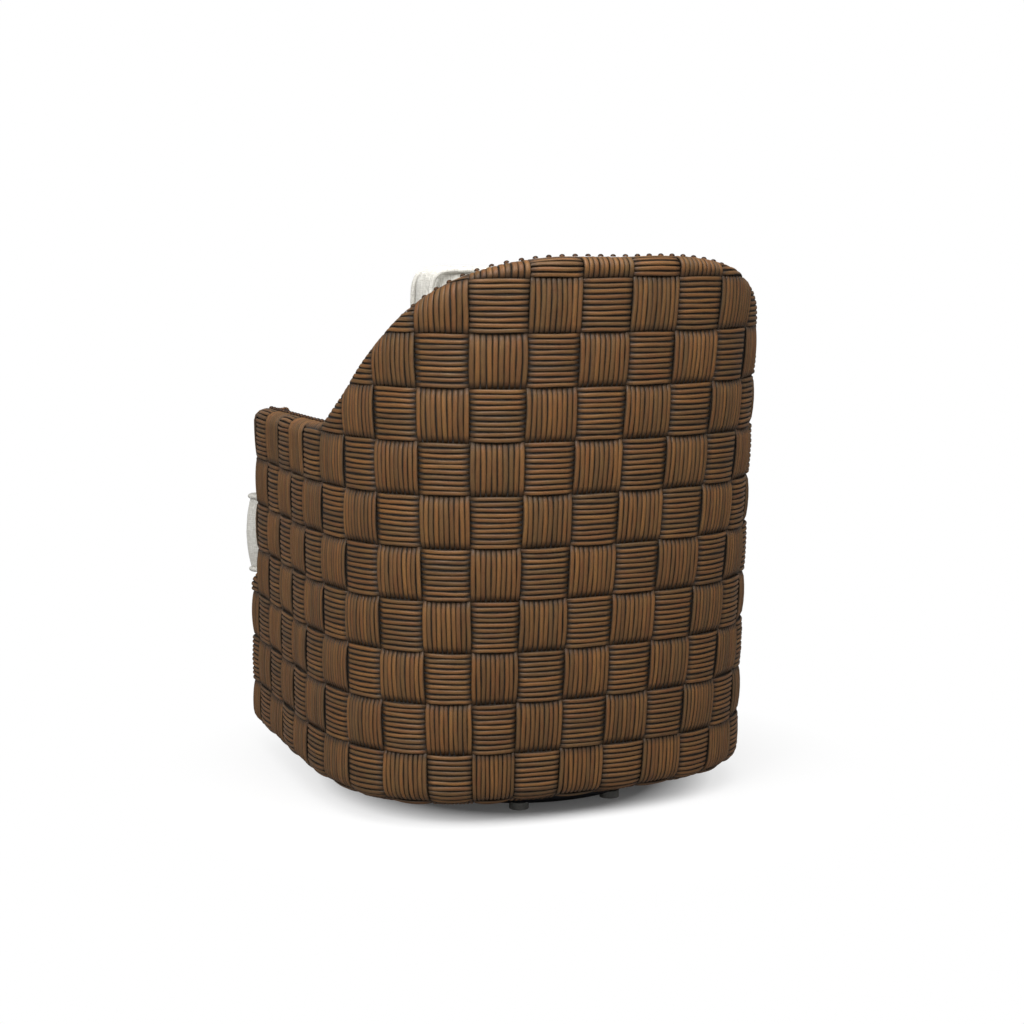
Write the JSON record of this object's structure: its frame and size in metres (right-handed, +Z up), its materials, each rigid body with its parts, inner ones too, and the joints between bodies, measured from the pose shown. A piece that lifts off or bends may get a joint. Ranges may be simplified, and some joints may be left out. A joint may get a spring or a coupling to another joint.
{
  "type": "swivel rocker",
  "caption": "Barrel-backed upholstered swivel rocker with a basket-woven shell, nail-head edge, T-shaped seat cushion and loose back cushion, on a hidden swivel base with coil rocker springs.",
  "frame": {"origin": "floor level, on the swivel axis, which passes through the middle of the chair's outline", "axes": "+Z up; the chair faces -Y; +X is to the sitter's left"},
  "size_m": [0.7444, 0.8085, 0.8941],
  "materials": {
    "woven": "split cane and leaf bundles in a basket weave, warm brown with dark gaps",
    "linen": "pale greige linen",
    "black_cloth": "thin black non-woven cloth",
    "timber": "plain hardwood, unfinished",
    "dark_steel": "black powder coat",
    "bright_steel": "zinc plated",
    "nylon": "natural nylon",
    "glide": "black plastic",
    "nail": "dark aged bronze"
  },
  "bodies": {
    "base": {"floor_ring": "dark_steel", "base_spider": "dark_steel", "floor_glides": "glide", "lower_race": "bright_steel", "king_pin": "bright_steel"},
    "bearing": {"ball_cage": "bright_steel", "bearing_balls": "bright_steel"},
    "swivel": {"upper_race": "bright_steel", "rocker_lower_bracket": "dark_steel", "pivot_bushings": "nylon"},
    "chair": {"rocker_upper_bracket": "dark_steel", "pivot_pins": "bright_steel", "mount_screws": "bright_steel", "mount_rail_front": "timber", "mount_rail_back": "timber", "base_rail": "timber", "seat_rail_back": "timber", "seat_rail_left": "timber", "seat_rail_right": "timber", "seat_rail_front": "timber", "front_board": "timber", "corner_blocks": "timber", "back_post_left": "timber", "back_post_right": "timber", "wing_post_left": "timber", "wing_post_right": "timber", "arm_post_left": "timber", "arm_post_right": "timber", "back_top_rail": "timber", "arm_rail_left": "timber", "arm_rail_right": "timber", "sinuous_springs": "bright_steel", "spring_clips": "bright_steel", "dust_cover": "black_cloth", "seat_deck": "black_cloth", "deck_pad": "linen", "inner_back_pad": "linen", "inner_arm_pad_left": "linen", "inner_arm_pad_right": "linen", "woven_back": "woven", "woven_arm_left": "woven", "woven_arm_right": "woven", "arm_front_left": "woven", "arm_front_right": "woven", "woven_front": "woven", "nail_heads": "nail", "seat_cushion": "linen", "back_cushion": "linen", "coil_spring_front_left": "bright_steel", "coil_spring_front_right": "bright_steel", "coil_spring_back_left": "bright_steel", "coil_spring_back_right": "bright_steel"}
  },
  "joints": [
    {"name": "swivel", "type": "hinge", "parent": "base", "child": "swivel", "pos_m": [0, 0, 0.06], "axis": [0, 0, 1], "continuous": true},
    {"name": "bearing_roll", "type": "hinge", "parent": "base", "child": "bearing", "pos_m": [0, 0, 0.0525], "axis": [0, 0, 1], "continuous": true},
    {"name": "rock", "type": "hinge", "parent": "swivel", "child": "chair", "pos_m": [0, 0, 0.112], "axis": [1, 0, 0], "range_deg": [-5, 3.5], "stiffness_Nm_per_rad": 700, "deforming": ["coil_spring_front_left", "coil_spring_front_right", "coil_spring_back_left", "coil_spring_back_right"]}
  ],
  "couplings": [
    {"joint": "bearing_roll", "follows": "swivel", "ratio": 0.5}
  ]
}
